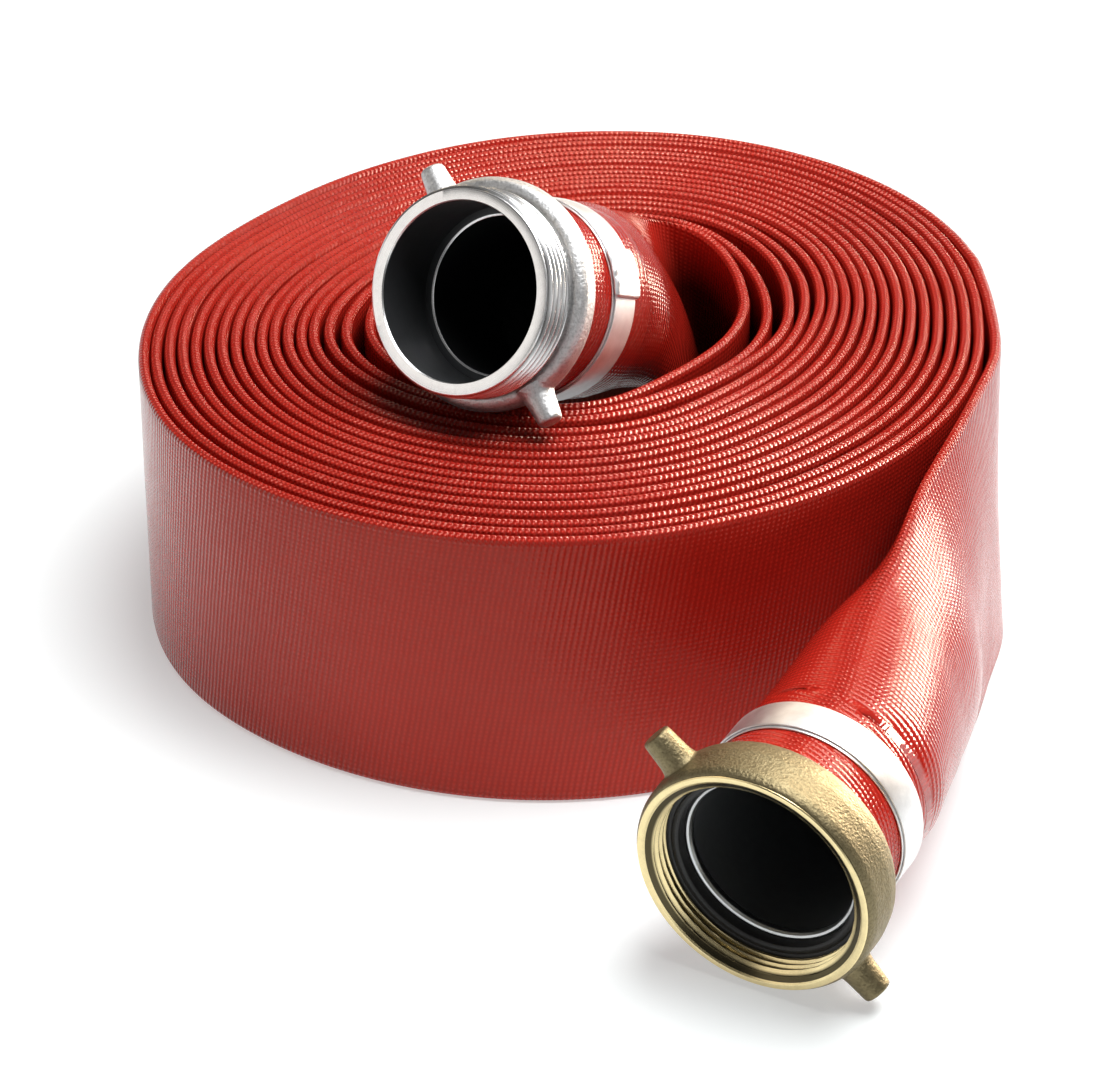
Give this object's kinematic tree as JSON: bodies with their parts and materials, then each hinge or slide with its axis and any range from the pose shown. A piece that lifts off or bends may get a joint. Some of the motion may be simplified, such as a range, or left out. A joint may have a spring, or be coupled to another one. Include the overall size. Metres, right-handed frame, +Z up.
{
  "type": "rolled fire hose",
  "caption": "Lay-flat fire hose in a round roll, with a male threaded coupling at its inner end and a swivel female coupling at its outer end.",
  "frame": {"origin": "on the floor plane under the middle of the whole object's box", "axes": "+Z up along the roll's winding axis; the outer end of the hose leaves the roll on the +X side toward -Y"},
  "size_m": [0.3754, 0.5375, 0.2238],
  "materials": {
    "red_pvc": "glossy extruded PVC over woven reinforcement, the weave showing through",
    "cast_aluminium": "sand cast, with a machined mouth and thread",
    "turned_aluminium": "machined, dull inside",
    "cast_brass": "sand cast, with a machined mouth and thread",
    "black_rubber": "matt black",
    "band_steel": "satin rolled strip"
  },
  "bodies": {
    "hose": {"hose_roll": "red_pvc", "hose_outer_end": "red_pvc", "hose_inner_end": "red_pvc", "male_coupling": "cast_aluminium", "male_clamp_band": "band_steel", "male_clamp_buckle": "band_steel", "female_shank": "turned_aluminium", "gasket": "black_rubber", "female_clamp_band": "band_steel", "female_clamp_buckle": "band_steel"},
    "swivel_nut": {"swivel_nut": "cast_brass"}
  },
  "joints": [
    {"name": "swivel_nut_spin", "type": "hinge", "parent": "hose", "child": "swivel_nut", "pos_m": [0.07337, -0.23156, 0.05335], "axis": [-0.4908, -0.8674, -0.0819], "continuous": true}
  ]
}
